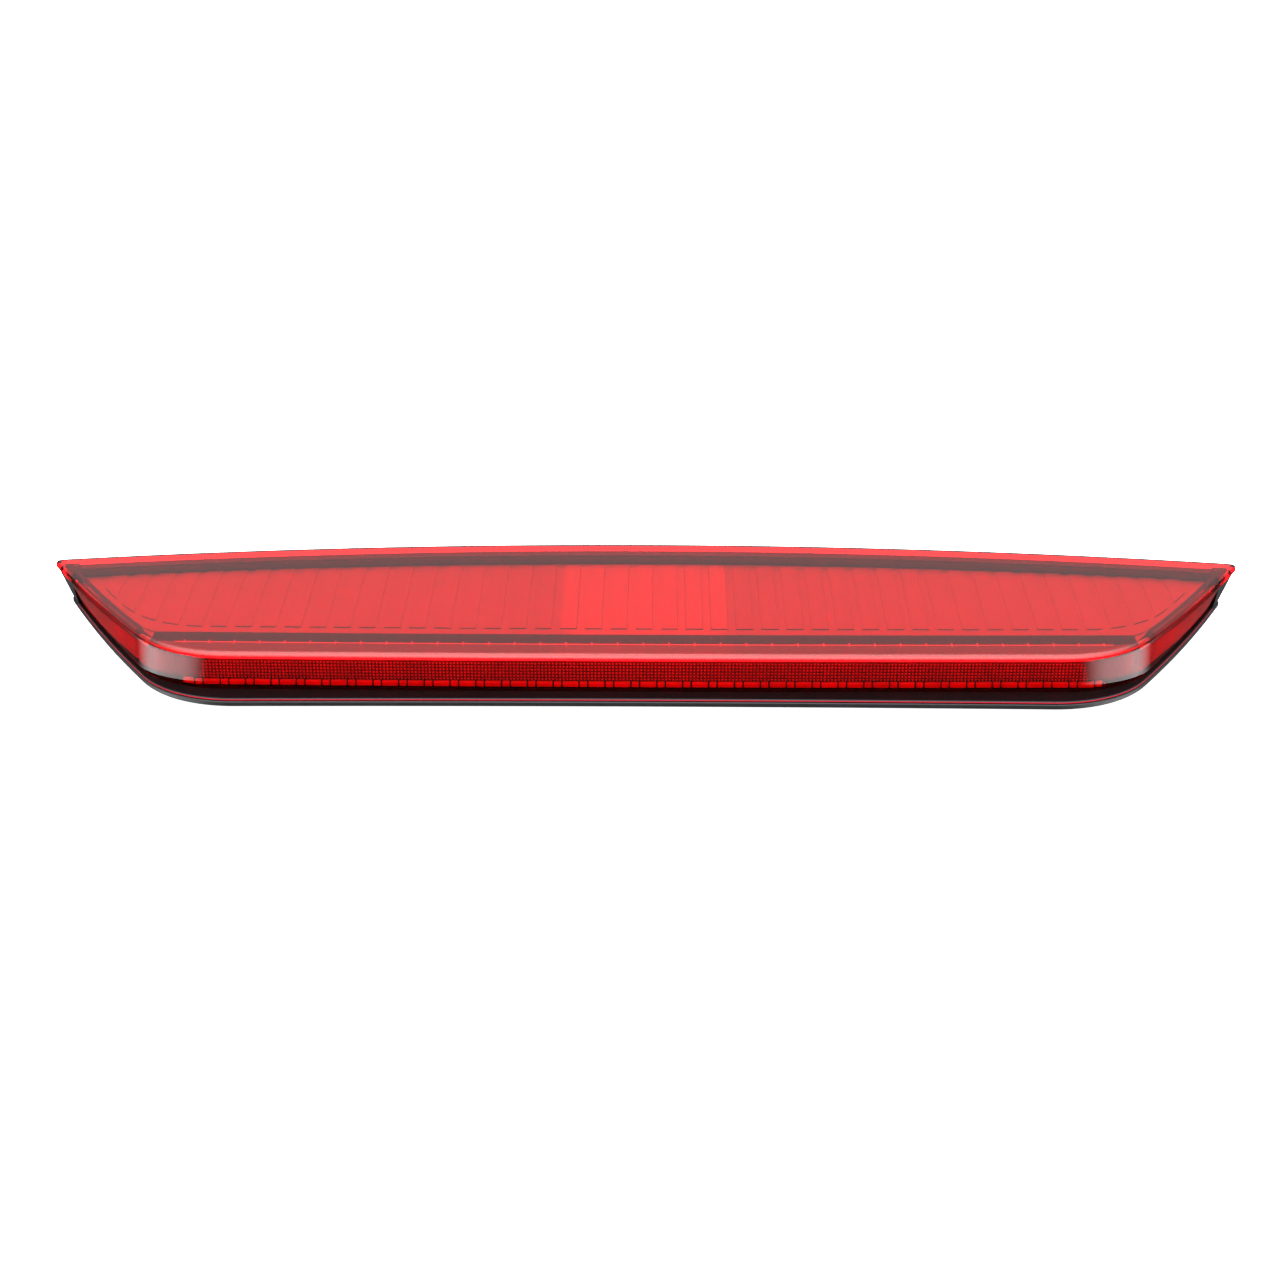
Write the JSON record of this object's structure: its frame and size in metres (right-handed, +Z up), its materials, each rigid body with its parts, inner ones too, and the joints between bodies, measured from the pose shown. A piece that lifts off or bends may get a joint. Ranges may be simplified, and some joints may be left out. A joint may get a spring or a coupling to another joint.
{
  "type": "third brake light",
  "caption": "Wide, thin high-mount LED brake light: clear red crowned lens over a ribbed reflector and front optic, black housing, four studs and a plug-in socket.",
  "frame": {"origin": "centre of the support pad on the underside, on the plane where the lamp meets the body panel", "axes": "+Z up through the lens top, +X to the right seen from the lit front, -Y out of the lit front; the lamp is longest along X and thinnest along Z"},
  "size_m": [0.4014, 0.0896, 0.031],
  "materials": {
    "red_lens": "clear red moulded acrylic, high gloss",
    "black_housing": "black moulded ABS, fine texture",
    "sealant": "grey-black sealing cord",
    "foam_gasket": "closed-cell foam rubber",
    "metallised_reflector": "vacuum-metallised plastic, satin bright",
    "black_shield": "black moulded polycarbonate",
    "clear_optic": "clear moulded polycarbonate",
    "circuit_board": "glass-fibre board with solder mask",
    "led_package": "white LED package with clear window",
    "resistor_body": "film resistor",
    "chip_body": "black epoxy package",
    "capacitor_body": "moulded tantalum capacitor",
    "zinc_steel": "zinc-plated steel",
    "socket_plastic": "black glass-filled polyester",
    "silicone_seal": "orange silicone",
    "tinned_terminal": "tin-plated brass",
    "vent_membrane": "white porous membrane"
  },
  "bodies": {
    "root": {"outer_lens": "red_lens", "housing": "black_housing", "rim_seal": "sealant", "rear_seal": "sealant", "mounting_gasket": "foam_gasket", "reflector": "metallised_reflector", "light_shield": "black_shield", "optic_bar": "clear_optic", "led_board": "circuit_board", "led_01": "led_package", "led_02": "led_package", "led_03": "led_package", "led_04": "led_package", "led_05": "led_package", "led_06": "led_package", "led_07": "led_package", "led_08": "led_package", "led_09": "led_package", "led_10": "led_package", "led_11": "led_package", "led_12": "led_package", "led_13": "led_package", "led_14": "led_package", "led_15": "led_package", "led_16": "led_package", "led_17": "led_package", "led_18": "led_package", "resistor_1": "resistor_body", "resistor_2": "resistor_body", "resistor_3": "resistor_body", "resistor_4": "resistor_body", "resistor_5": "resistor_body", "resistor_6": "resistor_body", "driver_chip": "chip_body", "tvs_diode": "chip_body", "tantalum_capacitor": "capacitor_body", "board_screw_1": "zinc_steel", "board_screw_2": "zinc_steel", "board_screw_3": "zinc_steel", "board_screw_4": "zinc_steel", "board_screw_5": "zinc_steel", "stud_inner_left": "zinc_steel", "stud_inner_right": "zinc_steel", "stud_outer_left": "zinc_steel", "stud_outer_right": "zinc_steel", "connector_socket": "socket_plastic", "connector_seal": "silicone_seal", "terminal_ground": "tinned_terminal", "terminal_feed": "tinned_terminal", "vent_cap": "socket_plastic", "vent_membrane": "vent_membrane"}
  },
  "joints": []
}
